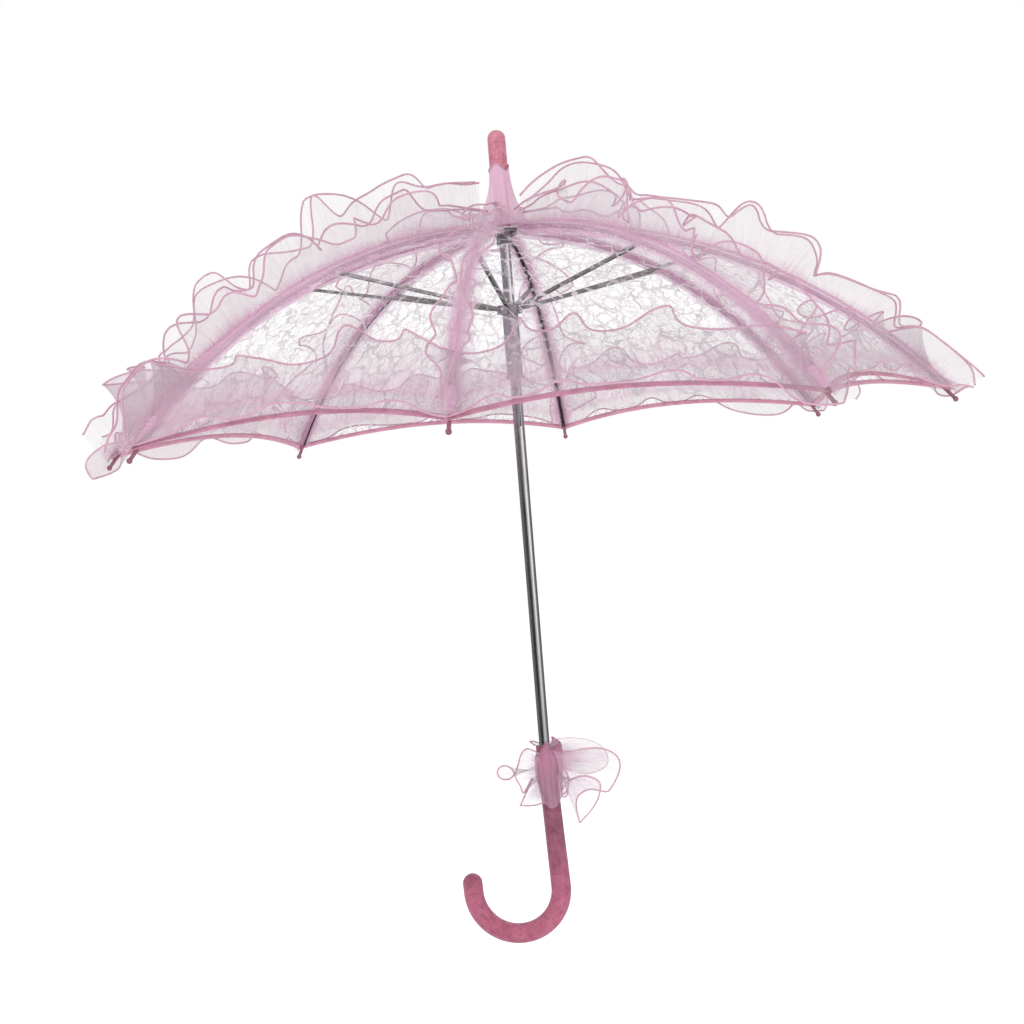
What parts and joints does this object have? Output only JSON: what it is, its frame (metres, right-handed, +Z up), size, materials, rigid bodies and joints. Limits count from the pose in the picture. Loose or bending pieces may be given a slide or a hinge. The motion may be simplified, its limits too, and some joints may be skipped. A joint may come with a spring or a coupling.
{
  "type": "lace parasol",
  "caption": "Open parasol: lace canopy with organza ruffles on folding channel ribs, tube shaft with sliding runner, covered ferrule and bow-tied crook handle.",
  "frame": {"origin": "on the shaft's axis at the middle of the straight grip", "axes": "+Z up the shaft towards the ferrule, +X along rib 1, and the crook opens towards -X"},
  "size_m": [0.86, 0.86, 0.7669],
  "materials": {
    "chrome_tube": "bright plated tube",
    "rib_steel": "dark enamelled channel",
    "stretcher_steel": "grey zinc-plated channel",
    "steel_wire": "drawn wire",
    "dark_plastic": "moulded",
    "runner_plastic": "moulded, greyish lilac",
    "handle_plastic": "moulded core",
    "tip_plastic": "brownish pink, moulded",
    "satin": "mottled deep pink satin, stretched tight",
    "lace": "pale pink floral net lace",
    "organza": "sheer pink organza with rolled edges"
  },
  "bodies": {
    "root": {"shaft": "chrome_tube", "crown": "dark_plastic", "crown_wire": "steel_wire", "stop_pin": "steel_wire", "ferrule": "satin", "ferrule_wrap": "organza", "handle": "handle_plastic", "handle_cover": "satin", "handle_bow": "organza"},
    "rib_1_set": {"rib_1": "rib_steel", "rib_tip_1": "tip_plastic", "rivet_1": "steel_wire", "canopy_1": "lace", "ruffle_1": "organza"},
    "rib_2_set": {"rib_2": "rib_steel", "rib_tip_2": "tip_plastic", "rivet_2": "steel_wire", "canopy_2": "lace", "ruffle_2": "organza"},
    "rib_3_set": {"rib_3": "rib_steel", "rib_tip_3": "tip_plastic", "rivet_3": "steel_wire", "canopy_3": "lace", "ruffle_3": "organza"},
    "rib_4_set": {"rib_4": "rib_steel", "rib_tip_4": "tip_plastic", "rivet_4": "steel_wire", "canopy_4": "lace", "ruffle_4": "organza"},
    "rib_5_set": {"rib_5": "rib_steel", "rib_tip_5": "tip_plastic", "rivet_5": "steel_wire", "canopy_5": "lace", "ruffle_5": "organza"},
    "rib_6_set": {"rib_6": "rib_steel", "rib_tip_6": "tip_plastic", "rivet_6": "steel_wire", "canopy_6": "lace", "ruffle_6": "organza"},
    "rib_7_set": {"rib_7": "rib_steel", "rib_tip_7": "tip_plastic", "rivet_7": "steel_wire", "canopy_7": "lace", "ruffle_7": "organza"},
    "rib_8_set": {"rib_8": "rib_steel", "rib_tip_8": "tip_plastic", "rivet_8": "steel_wire", "canopy_8": "lace", "ruffle_8": "organza"},
    "stretcher_1_set": {"stretcher_1": "stretcher_steel"},
    "stretcher_2_set": {"stretcher_2": "stretcher_steel"},
    "stretcher_3_set": {"stretcher_3": "stretcher_steel"},
    "stretcher_4_set": {"stretcher_4": "stretcher_steel"},
    "stretcher_5_set": {"stretcher_5": "stretcher_steel"},
    "stretcher_6_set": {"stretcher_6": "stretcher_steel"},
    "stretcher_7_set": {"stretcher_7": "stretcher_steel"},
    "stretcher_8_set": {"stretcher_8": "stretcher_steel"},
    "runner_set": {"runner": "runner_plastic", "runner_wire": "steel_wire"},
    "catch_set": {"catch_spring": "steel_wire"}
  },
  "joints": [
    {"name": "rib_1_fold", "type": "hinge", "parent": "root", "child": "rib_1_set", "pos_m": [0.01, 0, 0.551], "axis": [0, 1, 0], "range_deg": [0, 63], "deforming": ["canopy_1", "ruffle_1", "catch_spring"]},
    {"name": "rib_2_fold", "type": "hinge", "parent": "root", "child": "rib_2_set", "pos_m": [0.00707, 0.00707, 0.551], "axis": [-0.7071, 0.7071, 0], "range_deg": [0, 63], "deforming": ["canopy_2", "ruffle_2"]},
    {"name": "rib_3_fold", "type": "hinge", "parent": "root", "child": "rib_3_set", "pos_m": [0, 0.01, 0.551], "axis": [-1, 0, 0], "range_deg": [0, 63], "deforming": ["canopy_3", "ruffle_3"]},
    {"name": "rib_4_fold", "type": "hinge", "parent": "root", "child": "rib_4_set", "pos_m": [-0.00707, 0.00707, 0.551], "axis": [-0.7071, -0.7071, 0], "range_deg": [0, 63], "deforming": ["canopy_4", "ruffle_4"]},
    {"name": "rib_5_fold", "type": "hinge", "parent": "root", "child": "rib_5_set", "pos_m": [-0.01, 0, 0.551], "axis": [0, -1, 0], "range_deg": [0, 63], "deforming": ["canopy_5", "ruffle_5"]},
    {"name": "rib_6_fold", "type": "hinge", "parent": "root", "child": "rib_6_set", "pos_m": [-0.00707, -0.00707, 0.551], "axis": [0.7071, -0.7071, 0], "range_deg": [0, 63], "deforming": ["canopy_6", "ruffle_6"]},
    {"name": "rib_7_fold", "type": "hinge", "parent": "root", "child": "rib_7_set", "pos_m": [0, -0.01, 0.551], "axis": [1, 0, 0], "range_deg": [0, 63], "deforming": ["canopy_7", "ruffle_7"]},
    {"name": "rib_8_fold", "type": "hinge", "parent": "root", "child": "rib_8_set", "pos_m": [0.00707, -0.00707, 0.551], "axis": [0.7071, 0.7071, 0], "range_deg": [0, 63], "deforming": ["canopy_8", "ruffle_8"]},
    {"name": "stretcher_1_fold", "type": "hinge", "parent": "rib_1_set", "child": "stretcher_1_set", "pos_m": [0.191, 0, 0.51475], "axis": [0, 1, 0], "range_deg": [-126, 0]},
    {"name": "stretcher_2_fold", "type": "hinge", "parent": "rib_2_set", "child": "stretcher_2_set", "pos_m": [0.13506, 0.13506, 0.51475], "axis": [-0.7071, 0.7071, 0], "range_deg": [-126, 0]},
    {"name": "stretcher_3_fold", "type": "hinge", "parent": "rib_3_set", "child": "stretcher_3_set", "pos_m": [0, 0.191, 0.51475], "axis": [-1, 0, 0], "range_deg": [-126, 0]},
    {"name": "stretcher_4_fold", "type": "hinge", "parent": "rib_4_set", "child": "stretcher_4_set", "pos_m": [-0.13506, 0.13506, 0.51475], "axis": [-0.7071, -0.7071, 0], "range_deg": [-126, 0]},
    {"name": "stretcher_5_fold", "type": "hinge", "parent": "rib_5_set", "child": "stretcher_5_set", "pos_m": [-0.191, 0, 0.51475], "axis": [0, -1, 0], "range_deg": [-126, 0]},
    {"name": "stretcher_6_fold", "type": "hinge", "parent": "rib_6_set", "child": "stretcher_6_set", "pos_m": [-0.13506, -0.13506, 0.51475], "axis": [0.7071, -0.7071, 0], "range_deg": [-126, 0]},
    {"name": "stretcher_7_fold", "type": "hinge", "parent": "rib_7_set", "child": "stretcher_7_set", "pos_m": [0, -0.191, 0.51475], "axis": [1, 0, 0], "range_deg": [-126, 0]},
    {"name": "stretcher_8_fold", "type": "hinge", "parent": "rib_8_set", "child": "stretcher_8_set", "pos_m": [0.13506, -0.13506, 0.51475], "axis": [0.7071, 0.7071, 0], "range_deg": [-126, 0]},
    {"name": "runner_travel", "type": "hinge", "parent": "stretcher_1_set", "child": "runner_set", "pos_m": [0.01, 0, 0.4785], "axis": [0, 1, 0], "range_deg": [0, 63]},
    {"name": "catch_press", "type": "slide", "parent": "root", "child": "catch_set", "axis": [-0.3827, 0.9239, 0], "range_m": [0, 0.0026], "stiffness_N_per_m": 1500}
  ],
  "couplings": [
    {"joint": "rib_2_fold", "follows": "rib_1_fold", "ratio": 1},
    {"joint": "rib_3_fold", "follows": "rib_1_fold", "ratio": 1},
    {"joint": "rib_4_fold", "follows": "rib_1_fold", "ratio": 1},
    {"joint": "rib_5_fold", "follows": "rib_1_fold", "ratio": 1},
    {"joint": "rib_6_fold", "follows": "rib_1_fold", "ratio": 1},
    {"joint": "rib_7_fold", "follows": "rib_1_fold", "ratio": 1},
    {"joint": "rib_8_fold", "follows": "rib_1_fold", "ratio": 1},
    {"joint": "stretcher_1_fold", "follows": "rib_1_fold", "ratio": -2},
    {"joint": "stretcher_2_fold", "follows": "rib_1_fold", "ratio": -2},
    {"joint": "stretcher_3_fold", "follows": "rib_1_fold", "ratio": -2},
    {"joint": "stretcher_4_fold", "follows": "rib_1_fold", "ratio": -2},
    {"joint": "stretcher_5_fold", "follows": "rib_1_fold", "ratio": -2},
    {"joint": "stretcher_6_fold", "follows": "rib_1_fold", "ratio": -2},
    {"joint": "stretcher_7_fold", "follows": "rib_1_fold", "ratio": -2},
    {"joint": "stretcher_8_fold", "follows": "rib_1_fold", "ratio": -2},
    {"joint": "runner_travel", "follows": "rib_1_fold", "ratio": 1}
  ]
}
